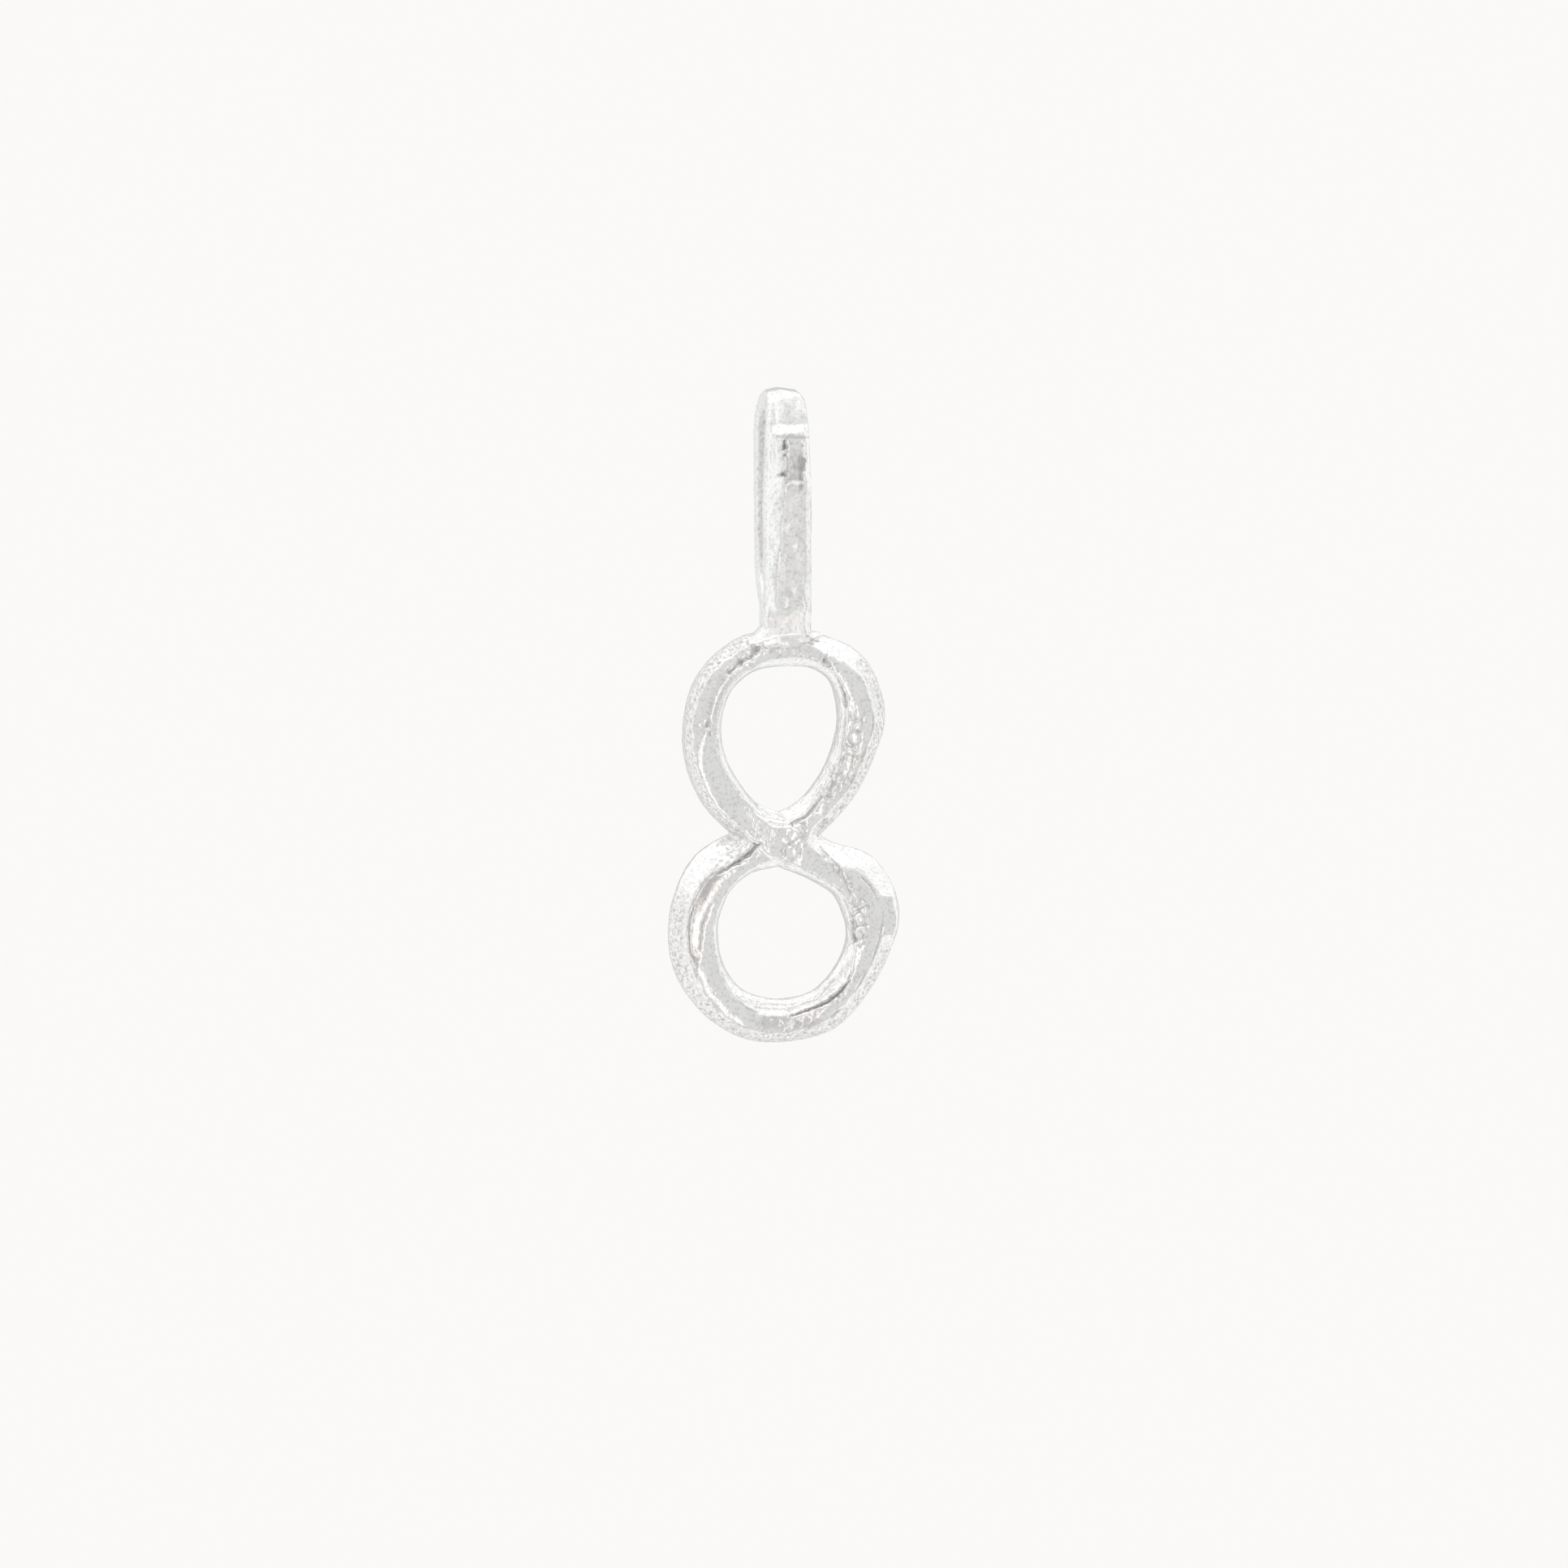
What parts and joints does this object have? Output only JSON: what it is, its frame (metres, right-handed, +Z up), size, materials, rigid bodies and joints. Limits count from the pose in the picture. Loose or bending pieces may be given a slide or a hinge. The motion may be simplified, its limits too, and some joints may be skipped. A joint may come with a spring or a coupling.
{
  "type": "pendant charm",
  "caption": "Small polished silver pendant charm: a hand-formed figure eight of round rod under a long, narrow folded strap bail that takes a chain.",
  "frame": {"origin": "axis of the half-round seat inside the top of the bail, at the middle of the strap's width", "axes": "+Z up towards the top of the bail, +X to the right across the strap, -Y out of the front"},
  "size_m": [0.0073, 0.0029, 0.0202],
  "materials": {
    "cast_silver": "polished",
    "strap_silver": "polished",
    "silver_solder": "gloss"
  },
  "bodies": {
    "root": {"figure_eight": "cast_silver", "bail": "strap_silver", "solder_seam": "silver_solder"}
  },
  "joints": []
}
